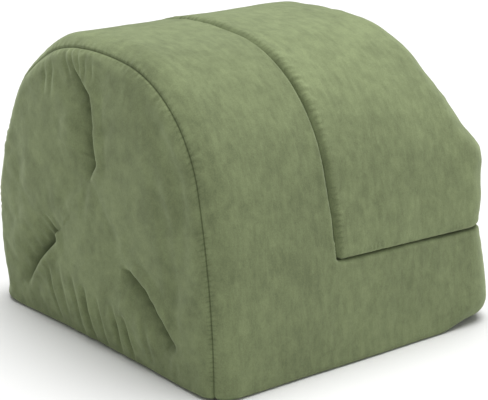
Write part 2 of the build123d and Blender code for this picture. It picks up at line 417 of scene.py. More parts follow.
def near_panel(y, z, fine):
    """How far the near end panel stands out of its plane, in millimetres, and how much shade is painted into its colour
    along the tucks and folds.
    Without fine, it leaves out the gathers that fan from the stitches."""
    q = np.stack([y, z], 1)
    depth_in = -arch(np.stack([np.zeros_like(y), y, z], 1))
    h = 3.0 * smooth(depth_in / 70.0) * smooth((z - 2) / 60.0)
    crease = np.zeros(len(y))
    for pts, vals in TUCK_LINES:
        r, v, side, run = line_field(q, pts, vals)
        # the slack side falls slowly to the stitches, and the taut side stands up sharply from them
        v = 1.1 * v
        slack = np.exp(-((r / 12.0) ** 1.3))
        taut = np.exp(-((r / 3.2) ** 1.6))
        lip = 0.22 * bump(r - 9, 10)
        h += v * np.where(side > 0, -slack, -taut + lip * (1 - taut))
        h += v * 0.14 * bump(r - 30, 16) * (side > 0)
        # painted shade: the colour darkens in each tuck's valley, widely on the slack side and in a thin line on the
        # taut side
        crease += v / 8.6 * np.where(side > 0, 0.70 * np.exp(-((r / 2.2) ** 1.5)) + 0.55 * np.exp(-((r / 9.5) ** 1.8)),
                                      np.exp(-((r / 1.2) ** 2)))
        if fine:
            # gathers that fan from the stitches
            fan = smooth((r - 4.0) / 4.0) * np.exp(-(((r - 9) / 7.0) ** 2))
            h += v * 0.05 * np.sin(run / 2.1 + r * 0.12) * fan * np.where(side > 0, 1.0, 0.5)
    for pts, depth, width in FOLDS:
        n = len(pts)
        vals = [depth * math.sin(math.pi * (0.12 + 0.76 * i / (n - 1))) for i in range(n)]
        r, v, side, run = line_field(q, pts, vals)
        total = sum(math.dist(a, b) for a, b in zip(pts[:-1], pts[1:]))
        fade = smooth(1 - np.maximum(r - width * 0.3, 0) / (width * 1.4))
        t = side * r
        h -= v * np.exp(-((r / (width * 0.55)) ** 2)) * fade
        h += v * 0.32 * np.exp(-(((r - width * 1.15) / (width * 0.7)) ** 2)) * (side < 0) * smooth(run / 6) * smooth((total - run) / 6)
        # painted shade in the folds' valleys as well
        crease += (0.085 if width < 8 else 0.02) * v * np.exp(-((r / (width * 0.6)) ** 2)) * fade
    return h, np.clip(crease, 0, 1)


VIEW = {"pos": (-775.6, -964.5, 457.3), "az": -39.007, "el": 16.261, "roll": 0.033, "f": 1474.4}

# ---------------------------------------------------------------- build the base cover
VOX = 4.5


def make_base():
    foot = profile(0.0)
    block = prism("base_cover", foot, XL, XM - 4)
    plinth_pts = profile(0.0, ZS)
    plinth = prism("tmp_plinth", plinth_pts, XM - 20, XR)
    ob = join(block, plinth)
    remesh(ob, VOX)
    relax(ob, form_base, 6)
    return ob


def make_cushion():
    pts = profile(ZS + GZ)
    ob = prism("cushion_cover", pts, XM + GX, XR - 12)
    remesh(ob, VOX)
    relax(ob, form_cushion, 6)
    return ob


def edge_seam(a, b, r, deg):
    """Signed run over an edge of radius r between faces a and b, from a seam deg round it: positive on b's side."""
    u1, u2 = np.clip(a + r, -1e3, r), np.clip(b + r, -1e3, r)
    phi = np.arctan2(np.maximum(u2, 0), np.maximum(u1, 1e-6))
    s = r * (phi - math.radians(deg))
    s = np.where(u1 < 0, r * (math.pi / 2 - math.radians(deg)) - u1, s)
    return np.where(u2 < 0, -r * math.radians(deg) + u2, s)


SEAM_DEG, FAR_DEG = 53.7, 64.0


def seam_near(p):
    """Positive on the end panel, negative on the wrap."""
    return edge_seam(shell(p), near_end(p), R_NEAR, SEAM_DEG)


def seam_far(p):
    return edge_seam(shell(p), far_end(p), R_FAR, FAR_DEG)


def gathers(p, s, run, seed):
    """Small puckers square to a seam, on both sides of it and in patches."""
    patchy = np.clip(lattice(p, 30.0, seed) + 0.25, 0, 1)
    wave = np.sin(run / 0.86 + 2.5 * lattice(p, 21.0, seed + 3))
    return (0.52 * wave * patchy * np.exp(-(((np.abs(s) - 3.4) / 3.0) ** 2))
            + 0.35 * np.sin(run / 1.9 + 2.5 * lattice(p, 23.0, seed + 7)) * patchy * np.exp(-(((np.abs(s) - 7.0) / 4.5) ** 2)))


def groove(s):
    return 1.25 * np.exp(-((s / 1.1) ** 2)) + 0.5 * np.exp(-((s / 5.0) ** 2))


def opening(p, n, body, form_at):
    """The cloth's displacement at a zipper: a folded edge that stands up round an opening sunk under the tapes."""
    w = window(p, body)
    flat = -form_at - 0.0
    back = (n[:, 1] > 0.5)
    lip = 0.9 * np.exp(-(((w + 1.9) / 1.7) ** 2)) - 0.35 * np.exp(-(((w + 5.2) / 1.2) ** 2))
    sink = -3.4 * smooth((w + 0.5) / 1.0)
    return np.where(back, np.where(w > -9, lip * (1 - smooth((w + 0.5) / 1.0)) + sink, 0.0), 0.0) + 0.0 * flat


def arc_run(p):
    """Where a point is along the arch: the angle round a point inside it, times a mean radius."""
    return np.arctan2(p[:, 2] - 40.0, -p[:, 1]) * 150.0


def end_weight(p, n):
    return smooth((-n[:, 0] - 0.25) / 0.5) * smooth(seam_near(p) / 6.0)


def dress_base(p, n):
    """Displaces the base's rest points p along their normals n, in millimetres, and says how much shade is painted into
    each point's colour in the creases.
    """
    x, y, z = p.T
    d = np.zeros(len(p))
    s = seam_near(p)
    on_end = end_weight(p, n)
    h, crease = near_panel(y, z, True)
    d += on_end * h
    # the painted crease shade, kept to the end panel
    crease = crease * on_end
    side = (1 - smooth((np.abs(n[:, 0]) - 0.6) / 0.3)) * smooth((n[:, 2] + 0.55) / 0.3)
    wrap = smooth(-s / 18.0) * side
    run = arc_run(p)
    calm = 1 - zip_zone(p)
    d += wrap * 1.3 * fbm(p, 75.0, 5, 2) * calm
    d += wrap * 0.30 * fbm(p * np.array([1, 0.6, 0.6]), 16.0, 9, 2) * calm
    d += opening(p, n, "base", 0.0)
    # the end seams' grooves, and the gathers they pull either side of them
    f = seam_far(p)
    low = smooth((ZS - z) / 3.0)
    d -= groove(s) + groove(f) * low
    d += gathers(p, s, run, 77) + gathers(p, f, run, 83) * low
    # the nearer seam's distance, which draws the seam's dark line, partly painted shade
    seam = np.where(np.abs(s) < np.abs(f), s, f)
    # the underside's panel is set in from the foot
    foot = -rmax(rmax(shell(p), near_end(p), 10.0), far_end(p), 10.0) - 11.0
    foot = np.where(n[:, 2] < -0.8, foot, -9.0)
    d -= 1.2 * np.exp(-((foot / 1.3) ** 2))
    # the edge along the step: a turned seam, slightly raised, then gathered into the gap
    e = np.maximum(np.abs(rmin(wall(p), deck(p), 3.0) + 4.0), 0)
    edge = side * np.exp(-((e / 4.0) ** 2)) * (x > XM - 25 - 0.05 * z)
    d += 0.35 * edge
    d += 0.25 * edge * np.sin((run + x * 0.9) / 1.6 + 2 * lattice(p, 19.0, 63)) * np.clip(lattice(p, 26.0, 65) + 0.2, 0, 1)
    # slack cloth on the end panel
    d += on_end * 0.9 * fbm(p, 34.0, 41, 3)
    # painted shade: where the puckers along the seams get a darker stripe in the colour
    sewn = np.exp(-((np.maximum(np.abs(seam) - 0.8, 0) / 3.2) ** 2)) * np.clip(lattice(p, 24.0, 71) * 0.9 + 0.55, 0, 1)
    return p + d[:, None] * n, {"crease": crease, "seam": seam, "foot": foot, "run": run, "sewn": sewn}


def dress_cushion(p, n):
    x, y, z = p.T
    d = (1.5 * fbm(p, 62.0, 15, 2) + 0.30 * fbm(p, 16.0, 19, 2)) * (1 - zip_zone(p))
    inner = smooth((-n[:, 0] - 0.7) / 0.2)
    under = smooth((-n[:, 2] - 0.7) / 0.2)
    run = arc_run(p)
    # gathers square to the inner seam and to the lower seam
    ws, ds = np.abs(wall(p) - GX), np.abs(deck(p) - GZ)
    pull = np.clip(lattice(p, 27.0, 52) + 0.45, 0, 1)
    d += 0.45 * np.sin(run / 0.62 + 1.6 * lattice(p, 21.0, 53)) * pull * np.exp(-(((ws - 5.5) / 3.6) ** 2)) * (1 - under)
    d += 0.40 * np.sin(run / 1.3 + 2.2 * lattice(p, 21.0, 54)) * pull * np.exp(-(((ws - 8) / 5.0) ** 2)) * (1 - under)
    pull = np.clip(lattice(p, 31.0, 57) + 0.1, 0, 1)
    d += 0.36 * np.sin(x / 0.75 + 2.2 * lattice(p, 25.0, 58)) * pull * np.exp(-(((ds - 5) / 4.0) ** 2)) * (1 - inner)
    f = seam_far(p)
    high = smooth((deck(p) - GZ - 2.0) / 3.0)
    d += gathers(p, f, run, 91) * high
    d *= (1 - inner) * (1 - under)
    d -= groove(f) * high
    d += opening(p, n, "cushion", 0.0)
    # the quilted look of the panel that faces the deck: its own seam, set in from the edge
    rim = -rmax(rmax(shell(p), far_end(p), 8.0), GX - wall(p), 5.0) - 10.0
    rim = np.where(n[:, 2] < -0.8, rim, -9.0)
    d -= 1.0 * np.exp(-((rim / 1.3) ** 2))
    edge = np.minimum(ws, np.where(n[:, 0] < -0.5, 99, ws))
    # painted shade: where the puckers along the inner and lower seams get a darker stripe in the colour
    sewn = np.exp(-(((edge - 5.0) / 3.6) ** 2)) * np.clip(lattice(p, 24.0, 72) * 0.7 + 0.75, 0, 1) * (1 - under) * (1 - inner)
    low = np.exp(-(((ds - 4.0) / 3.0) ** 2)) * np.clip(lattice(p, 24.0, 73) * 0.9 + 0.3, 0, 1) * (1 - under) * (1 - inner)
    # painted shade: a darker band in the colour along the cushion's edge at the step, where it rolls into the gap
    crease = 0.30 * np.exp(-(((edge - 2.5) / 3.0) ** 2)) * (1 - under) * (1 - inner)
    along = np.where(low > sewn, x, run)
    return p + d[:, None] * n, {"crease": crease, "seam": f, "foot": rim, "run": along, "sewn": np.maximum(sewn, low)}


# ---------------------------------------------------------------- cloth: the covers fill between their seams and stitches
def smooth_field(ob, field, rounds):
    me = ob.data
    e = np.empty(len(me.edges) * 2, np.int32)
    me.edges.foreach_get("vertices", e)
    e = e.reshape(-1, 2)
    count = np.bincount(e.ravel(), minlength=len(field)).astype(float)
    out = field.copy()
    for _ in range(rounds):
        total = np.bincount(e[:, 0], out[e[:, 1]], len(field)) + np.bincount(e[:, 1], out[e[:, 0]], len(field))
        out = 0.4 * out + 0.6 * total / np.maximum(count, 1)
    return out


def simulate(ob, form, pins, start, pressure, slack, cap, frames=20):
    """Inflates a copy of the cover with Blender's cloth, its seams and stitches pinned where start puts them.
    Returns each point's move from the form in millimetres, without its slow part, which the form already has."""
    rest = coords(ob.data) / MM
    sim = ob.copy()
    sim.data = ob.data.copy()
    sim.name = ob.name + "_sim"
    bpy.context.scene.collection.objects.link(sim)
    set_coords(sim.data, start * MM)
    group = sim.vertex_groups.new(name="pin")
    for w in (1.0,):
        group.add([int(i) for i in np.nonzero(pins > 0.5)[0]], w, "REPLACE")
    mod = sim.modifiers.new("cloth", "CLOTH")
    c = mod.settings
    c.quality = 6
    c.mass = 0.25
    c.tension_stiffness = c.compression_stiffness = 12
    c.shear_stiffness = 5
    c.bending_stiffness = 0.4
    c.vertex_group_mass = "pin"
    c.use_pressure = True
    c.uniform_pressure_force = pressure
    c.shrink_min = -slack
    c.effector_weights.gravity = 0
    mod.collision_settings.use_collision = False
    mod.point_cache.frame_start, mod.point_cache.frame_end = 1, frames
    scene = bpy.context.scene
    for f in range(1, frames + 1):
        scene.frame_set(f)
    dg = bpy.context.evaluated_depsgraph_get()
    out = coords(sim.evaluated_get(dg).data) / MM
    scene.frame_set(1)
    bpy.data.objects.remove(sim)
    move = out - start
    move[~np.isfinite(move).all(1)] = 0
    size = np.linalg.norm(move, axis=1)
    move *= (np.minimum(size, cap) / np.maximum(size, 1e-6))[:, None]
    n = gradient(form, rest)
    n /= np.maximum(np.linalg.norm(n, axis=1), 1e-9)[:, None]
    along = (move * n).sum(1)
    free = (pins < 0.5).astype(float)
    slow = smooth_field(ob, along, 60)
    move -= (0.8 * slow * smooth_field(ob, free, 4))[:, None] * n
    print("cloth", ob.name, len(rest), "points, move mean", round(float(np.abs(along).mean()), 2), "max", round(float(size.max()), 2))
    return move


def cloth_base(ob):
    p = coords(ob.data) / MM
    n = gradient(form_base, p)
    n /= np.maximum(np.linalg.norm(n, axis=1), 1e-9)[:, None]
    s = seam_near(p)
    on_end = end_weight(p, n)
    q = p[:, 1:]
    pins = np.abs(s) < 3.0
    pins |= p[:, 2] < 6.0
    pins |= rmin(wall(p), deck(p), 3.0) > -9.0
    start = p - 1.2 * np.exp(-((s / 5.0) ** 2))[:, None] * n
    for pts, vals in TUCK_LINES:
        r, v, side, run = line_field(q, pts, vals)
        pins |= (r < 3.2) & (v > 1.0) & (on_end > 0.5)
        start -= (on_end * 0.7 * v * np.exp(-((r / 5.0) ** 2)))[:, None] * n
    move = simulate(ob, form_base, pins.astype(float), start, 3.5, 0.02, 9.0)
    return move * (0.22 + 0.33 * on_end)[:, None]


def cloth_cushion(ob):
    p = coords(ob.data) / MM
    pins = (np.abs(wall(p) - GX) < 8.0) | (np.abs(deck(p) - GZ) < 7.0)
    return simulate(ob, form_cushion, pins.astype(float), p.copy(), 3.5, 0.015, 8.0) * 0.25


def finish_piece(ob, form, dress, levels, cloth=None):
    """Subdivides, puts the points back on the form, and displaces them."""
    move = None
    if cloth is not None:
        flat = coords(ob.data)
        move = cloth(ob)
        twin = ob.copy()
        twin.data = ob.data.copy()
        bpy.context.scene.collection.objects.link(twin)
        set_coords(twin.data, flat + move * MM)
        subdivide(twin, levels)
        moved = coords(twin.data)
        bpy.data.objects.remove(twin)
    subdivide(ob, levels)
    fine = coords(ob.data)
    p, n = project(form, fine / MM, 3)
    out, marks = dress(p, n)
    if move is not None:
        out = out + (moved - fine) / MM * (1 - zip_zone(p))[:, None]
    out[:, 2] = np.maximum(out[:, 2], 0.0)
    set_coords(ob.data, out * MM)
    for name, values in marks.items():
        attribute = ob.data.attributes.new(name, "FLOAT", "POINT")
        attribute.data.foreach_set("value", values.astype(np.float32))
    ob.data.polygons.foreach_set("use_smooth", [True] * len(ob.data.polygons))


base = make_base()
cushion = make_cushion()
LEVELS = 2
finish_piece(base, form_base, dress_base, LEVELS, cloth_base)
finish_piece(cushion, form_cushion, dress_cushion, LEVELS, cloth_cushion)


# ---------------------------------------------------------------- materials
def microsuede(name, colour, seed):
    m = bpy.data.materials.new(name)
    m.use_nodes = True
    t = m.node_tree
    b = t.nodes["Principled BSDF"]
    b.inputs["Roughness"].default_value = 0.92
    b.inputs["Specular IOR Level"].default_value = 0.18
    b.inputs["Sheen Weight"].default_value = 0.35
    b.inputs["Sheen Roughness"].default_value = 0.45
    b.inputs["Sheen Tint"].default_value = (0.80, 0.90, 0.62, 1)
    tc = t.nodes.new("ShaderNodeTexCoord")

    def noise(scale, detail, rough, dist=0.0):
        n = t.nodes.new("ShaderNodeTexNoise")
        n.inputs["Scale"].default_value = scale
        n.inputs["Detail"].default_value = detail
        n.inputs["Roughness"].default_value = rough
        n.inputs["Distortion"].default_value = dist
        mp = t.nodes.new("ShaderNodeMapping")
        mp.inputs["Location"].default_value = (seed * 1.7, seed * 0.9, seed * 2.3)
        t.links.new(tc.outputs["Object"], mp.inputs["Vector"])
        t.links.new(mp.outputs["Vector"], n.inputs["Vector"])
        return n

    big, mid, fine = noise(14, 3, 0.55, 0.4), noise(95, 4, 0.62, 0.3), noise(900, 2, 0.6)
    # the nap lies in short streaks along the run of the cloth
    streak = noise(1, 4, 0.66, 0.25)
    streak.inputs["Vector"].links[0].from_node.inputs["Scale"].default_value = (200, 64, 64)
    grain = t.nodes.new("ShaderNodeMath"); grain.operation = "ADD"
    half = t.nodes.new("ShaderNodeMath"); half.operation = "MULTIPLY"; half.inputs[1].default_value = 0.45
    rest = t.nodes.new("ShaderNodeMath"); rest.operation = "MULTIPLY"; rest.inputs[1].default_value = 0.55
    t.links.new(mid.outputs["Fac"], half.inputs[0])
    t.links.new(streak.outputs["Fac"], rest.inputs[0])
    t.links.new(half.outputs[0], grain.inputs[0])
    t.links.new(rest.outputs[0], grain.inputs[1])
    add1 = t.nodes.new("ShaderNodeMath"); add1.operation = "MULTIPLY_ADD"
    add1.inputs[1].default_value = 0.70
    t.links.new(grain.outputs[0], add1.inputs[0])
    sc = t.nodes.new("ShaderNodeMath"); sc.operation = "MULTIPLY"; sc.inputs[1].default_value = 0.30
    t.links.new(big.outputs["Fac"], sc.inputs[0])
    t.links.new(sc.outputs[0], add1.inputs[2])
    ramp = t.nodes.new("ShaderNodeValToRGB")
    ramp.color_ramp.elements[0].position = 0.40
    ramp.color_ramp.elements[1].position = 0.60
    dark = tuple(c * 0.81 for c in colour)
    light = tuple(c * 1.17 for c in colour)
    ramp.color_ramp.elements[0].color = (*dark, 1)
    ramp.color_ramp.elements[1].color = (*light, 1)
    t.links.new(add1.outputs[0], ramp.inputs["Fac"])
    mix = t.nodes.new("ShaderNodeMixRGB"); mix.blend_type = "MULTIPLY"; mix.inputs["Fac"].default_value = 0.35
    t.links.new(ramp.outputs["Color"], mix.inputs["Color1"])
    t.links.new(fine.outputs["Fac"], mix.inputs["Color2"])
    # painted shade: the colour is darkened in the creases by the crease shade each cover carries
    at = t.nodes.new("ShaderNodeAttribute")
    at.attribute_name = "crease"
    deep = t.nodes.new("ShaderNodeMixRGB")
    deep.blend_type = "MULTIPLY"
    deep.inputs["Color2"].default_value = (0.31, 0.33, 0.27, 1)
    t.links.new(at.outputs["Fac"], deep.inputs["Fac"])
    t.links.new(mix.outputs["Color"], deep.inputs["Color1"])
    last = deep
    for mark in ("seam", "foot"):
        # a thin dark line where the seam's two edges meet, partly the seam's own dark join and partly painted shade in
        # its crevice
        am = t.nodes.new("ShaderNodeAttribute")
        am.attribute_name = mark
        ab = t.nodes.new("ShaderNodeMath"); ab.operation = "ABSOLUTE"
        mr = t.nodes.new("ShaderNodeMapRange")
        mr.inputs["From Min"].default_value = 0.22
        mr.inputs["From Max"].default_value = 0.80
        mr.inputs["To Min"].default_value = 0.75
        mr.inputs["To Max"].default_value = 0.0
        ln = t.nodes.new("ShaderNodeMixRGB")
        ln.blend_type = "MULTIPLY"
        ln.inputs["Color2"].default_value = (0.40, 0.42, 0.36, 1)
        t.links.new(am.outputs["Fac"], ab.inputs[0])
        t.links.new(ab.outputs[0], mr.inputs["Value"])
        t.links.new(mr.outputs["Result"], ln.inputs["Fac"])
        t.links.new(last.outputs["Color"], ln.inputs["Color1"])
        last = ln
    # painted shade of small puckers square to the stitching: the colour is striped darker in each pucker's valley
    ar, ak = t.nodes.new("ShaderNodeAttribute"), t.nodes.new("ShaderNodeAttribute")
    ar.attribute_name, ak.attribute_name = "run", "sewn"
    turn = t.nodes.new("ShaderNodeMath"); turn.operation = "MULTIPLY_ADD"
    turn.inputs[1].default_value = 2 * math.pi / 3.6
    wob = t.nodes.new("ShaderNodeMath"); wob.operation = "MULTIPLY"; wob.inputs[1].default_value = 9.0
    t.links.new(mid.outputs["Fac"], wob.inputs[0])
    t.links.new(ar.outputs["Fac"], turn.inputs[0])
    t.links.new(wob.outputs[0], turn.inputs[2])
    sine = t.nodes.new("ShaderNodeMath"); sine.operation = "SINE"
    t.links.new(turn.outputs[0], sine.inputs[0])
    pucker = t.nodes.new("ShaderNodeMath"); pucker.operation = "MULTIPLY"
    t.links.new(sine.outputs[0], pucker.inputs[0])
    t.links.new(ak.outputs["Fac"], pucker.inputs[1])
    pf = t.nodes.new("ShaderNodeMapRange")
    pf.inputs["From Min"].default_value = 0.1
    pf.inputs["From Max"].default_value = 1.0
    pf.inputs["To Min"].default_value = 0.0
    pf.inputs["To Max"].default_value = 0.42
    t.links.new(pucker.outputs[0], pf.inputs["Value"])
    pd = t.nodes.new("ShaderNodeMixRGB"); pd.blend_type = "MULTIPLY"
    pd.inputs["Color2"].default_value = (0.55, 0.57, 0.50, 1)
    t.links.new(pf.outputs["Result"], pd.inputs["Fac"])
    t.links.new(last.outputs["Color"], pd.inputs["Color1"])
    t.links.new(pd.outputs["Color"], b.inputs["Base Color"])
    bump_n = t.nodes.new("ShaderNodeBump")
    bump_n.inputs["Strength"].default_value = 0.25
    bump_n.inputs["Distance"].default_value = 0.0006
    t.links.new(fine.outputs["Fac"], bump_n.inputs["Height"])
    bump2 = t.nodes.new("ShaderNodeBump")
    bump2.inputs["Strength"].default_value = 0.3
    bump2.inputs["Distance"].default_value = 0.0012
    t.links.new(mid.outputs["Fac"], bump2.inputs["Height"])
    t.links.new(bump_n.outputs["Normal"], bump2.inputs["Normal"])
    t.links.new(bump2.outputs["Normal"], b.inputs["Normal"])
    return m


OLIVE = (0.226, 0.270, 0.136)
mat_wrap = microsuede("wrap_microsuede", OLIVE, 1.0)
# the cushion's cloth is the wrap's olive made 9 % lighter: painted light, so its faces come out brighter than the
# base's
mat_cushion = microsuede("cushion_microsuede", tuple(c * 1.09 for c in OLIVE), 2.0)


def node_material(name, rough, specular=0.5, metallic=0.0):
    m = bpy.data.materials.new(name)
    m.use_nodes = True
    b = m.node_tree.nodes["Principled BSDF"]
    b.inputs["Specular IOR Level"].default_value = specular
    b.inputs["Metallic"].default_value = metallic
    b.inputs["Roughness"].default_value = rough
    return m, m.node_tree, b


def woven(name, colour, pitch, contrast=0.35, rough=0.85):
    """A plain weave: warp and weft bands pitch millimetres apart, with uneven yarns."""
    m, t, b = node_material(name, rough, 0.25)
    tc = t.nodes.new("ShaderNodeTexCoord")
    bands = []
    for axis in ("X", "Z", "Y"):
        w = t.nodes.new("ShaderNodeTexWave")
        w.wave_type = "BANDS"
        w.bands_direction = axis
        w.inputs["Scale"].default_value = math.pi / 10 / (pitch * MM)
        w.inputs["Distortion"].default_value = 0.6
        w.inputs["Detail"].default_value = 1.0
        t.links.new(tc.outputs["Object"], w.inputs["Vector"])
        bands.append(w)
    mul = t.nodes.new("ShaderNodeMath"); mul.operation = "MULTIPLY"
    t.links.new(bands[0].outputs["Fac"], mul.inputs[0])
    t.links.new(bands[1].outputs["Fac"], mul.inputs[1])
    add = t.nodes.new("ShaderNodeMath"); add.operation = "ADD"
    side = t.nodes.new("ShaderNodeMath"); side.operation = "MULTIPLY"; side.inputs[1].default_value = 0.4
    t.links.new(bands[2].outputs["Fac"], side.inputs[0])
    t.links.new(mul.outputs[0], add.inputs[0])
    t.links.new(side.outputs[0], add.inputs[1])
    nz = t.nodes.new("ShaderNodeTexNoise")
    nz.inputs["Scale"].default_value = 160
    nz.inputs["Detail"].default_value = 3
    t.links.new(tc.outputs["Object"], nz.inputs["Vector"])
    ramp = t.nodes.new("ShaderNodeValToRGB")
    ramp.color_ramp.elements[0].color = (*[c * (1 - contrast) for c in colour], 1)
    ramp.color_ramp.elements[1].color = (*[min(c * (1 + contrast), 1) for c in colour], 1)
    ramp.color_ramp.elements[1].position = 1.0
    mixv = t.nodes.new("ShaderNodeMath"); mixv.operation = "MULTIPLY_ADD"; mixv.inputs[1].default_value = 0.6
    part = t.nodes.new("ShaderNodeMath"); part.operation = "MULTIPLY"; part.inputs[1].default_value = 0.4
    t.links.new(nz.outputs["Fac"], part.inputs[0])
    t.links.new(add.outputs[0], mixv.inputs[0])
    t.links.new(part.outputs[0], mixv.inputs[2])
    t.links.new(mixv.outputs[0], ramp.inputs["Fac"])
    t.links.new(ramp.outputs["Color"], b.inputs["Base Color"])
    bp = t.nodes.new("ShaderNodeBump")
    bp.inputs["Strength"].default_value = 0.5
    bp.inputs["Distance"].default_value = 0.0003
    t.links.new(add.outputs[0], bp.inputs["Height"])
    t.links.new(bp.outputs["Normal"], b.inputs["Normal"])
    return m


def speckled(name, colour, rough, metallic, scale, spread, specular=0.5, worn=None):
    """Moulded plastic or painted metal: a faint orange peel, uneven gloss, and specks of wear."""
    m, t, b = node_material(name, rough, specular, metallic)
    tc = t.nodes.new("ShaderNodeTexCoord")
    n1 = t.nodes.new("ShaderNodeTexNoise")
    n1.inputs["Scale"].default_value = scale
    n1.inputs["Detail"].default_value = 5
    t.links.new(tc.outputs["Object"], n1.inputs["Vector"])
    ramp = t.nodes.new("ShaderNodeValToRGB")
    ramp.color_ramp.elements[0].position = 0.35
    ramp.color_ramp.elements[1].position = 0.65
    ramp.color_ramp.elements[0].color = (*[c * (1 - spread) for c in colour], 1)
    ramp.color_ramp.elements[1].color = (*[c * (1 + spread) for c in colour], 1)
    if worn:
        e = ramp.color_ramp.elements.new(0.72)
        e.color = (*worn, 1)
    t.links.new(n1.outputs["Fac"], ramp.inputs["Fac"])
    t.links.new(ramp.outputs["Color"], b.inputs["Base Color"])
    mr = t.nodes.new("ShaderNodeMapRange")
    mr.inputs["To Min"].default_value = rough - 0.1
    mr.inputs["To Max"].default_value = rough + 0.12
    t.links.new(n1.outputs["Fac"], mr.inputs["Value"])
    t.links.new(mr.outputs["Result"], b.inputs["Roughness"])
    bp = t.nodes.new("ShaderNodeBump")
    bp.inputs["Strength"].default_value = 0.2
    bp.inputs["Distance"].default_value = 0.0002
    t.links.new(n1.outputs["Fac"], bp.inputs["Height"])
    t.links.new(bp.outputs["Normal"], b.inputs["Normal"])
    return m


mat_under = woven("underside_cloth", (0.150, 0.180, 0.092), 1.1, 0.22)
mat_tape = woven("zip_tape", (0.125, 0.150, 0.075), 0.8, 0.30)
mat_loop = woven("touch_tape", (0.110, 0.132, 0.066), 1.5, 0.35, 0.95)
mat_hook = speckled("hook_tape", (0.085, 0.100, 0.052), 0.55, 0.0, 700, 0.2)
mat_coil = speckled("zip_coil", (0.090, 0.108, 0.055), 0.42, 0.0, 500, 0.15)
mat_metal = speckled("zip_metal", (0.075, 0.085, 0.055), 0.38, 0.0, 420, 0.12, 0.6, (0.16, 0.17, 0.14))
mat_thread = woven("thread", (0.200, 0.240, 0.125), 0.5, 0.25)

for ob, suede in ((base, mat_wrap), (cushion, mat_cushion)):
    ob.data.materials.clear()
    ob.data.materials.append(suede)
    ob.data.materials.append(mat_under)
    # the panels that face down inside their seams are the plain cloth
    inset = np.empty(len(ob.data.vertices), np.float32)
    ob.data.attributes["foot"].data.foreach_get("value", inset)
    corner = np.empty(len(ob.data.loops), np.int32)
    ob.data.loops.foreach_get("vertex_index", corner)
    first = np.empty(len(ob.data.polygons), np.int32)
    ob.data.polygons.foreach_get("loop_start", first)
    ob.data.polygons.foreach_set("material_index", (inset[corner[first]] > 0.4).astype(np.int32))

# ---------------------------------------------------------------- the zippers' coils and stitching, and the touch tape
def axes_at(zm):
    slope = -zm / math.sqrt(R_SIDE ** 2 - zm ** 2)
    k = math.hypot(1, slope)
    return np.array([0, slope / k, 1 / k]), np.array([0, 1 / k, -slope / k])


def tube(verts, faces, path, radii, sides=6):
    """A closed round bar along path, for small threads and coil wires."""
    path = np.asarray(path, float)
    start = len(verts)
    for i, c in enumerate(path):
        d = path[min(i + 1, len(path) - 1)] - path[max(i - 1, 0)]
        d /= np.linalg.norm(d)
        a = np.cross(d, (0, 0, 1) if abs(d[2]) < 0.9 else (0, 1, 0))
        a /= np.linalg.norm(a)
        b = np.cross(d, a)
        for k in range(sides):
            t = 2 * math.pi * k / sides
            verts.append((c + radii[i] * (math.cos(t) * a + math.sin(t) * b)) * MM)
    for i in range(len(path) - 1):
        for k in range(sides):
            q = start + i * sides
            faces.append((q + k, q + (k + 1) % sides, q + sides + (k + 1) % sides, q + sides + k))
    faces.append(tuple(range(start + sides - 1, start - 1, -1)))
    faces.append(tuple(range(start + (len(path) - 1) * sides, start + len(path) * sides)))


def piece(name, verts, faces, material, body, node):
    ob = new_object(name, verts, faces)
    ob.data.materials.append(material)
    ob.data.polygons.foreach_set("use_smooth", [True] * len(ob.data.polygons))
    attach(ob, body)
    if node:
        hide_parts(node)
    return ob


def coil(body):
    """Two interlocked rows of nylon coil, each tooth a small loop that ends in a head over the middle."""
    lo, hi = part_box(body + "_zip_coil")
    x0, x1, zm = lo[0] / MM + 0.6, hi[0] / MM - 0.6, ZIPS[body][2]
    o = np.array([0, float(side_y(zm)), zm])
    v_ax, w_ax = axes_at(zm)
    x_ax = np.array([1.0, 0, 0])
    verts, faces = [], []
    pitch = 1.45
    count = int((x1 - x0) / (pitch / 2))
    for i in range(count):
        x = x0 + i * pitch / 2
        s = 1 if i % 2 else -1
        steps = [(2.25, 0.55), (2.0, 1.25), (1.1, 1.5), (0.1, 1.5), (-0.55, 1.2), (-0.5, 0.75)]
        path = [o + x_ax * x + v_ax * (s * v) + w_ax * w for v, w in steps]
        tube(verts, faces, path, [0.33, 0.36, 0.36, 0.38, 0.42, 0.30], 6)
    for s in (-1, 1):
        # the sewing cord along each row
        n = 60
        tube(verts, faces, [o + x_ax * (x0 + (x1 - x0) * k / n) + v_ax * (s * 1.9) + w_ax * 0.5 for k in range(n + 1)], [0.3] * (n + 1), 6)
    return piece(body + "_coil_teeth", verts, faces, mat_coil, body, body + "_zip_coil")


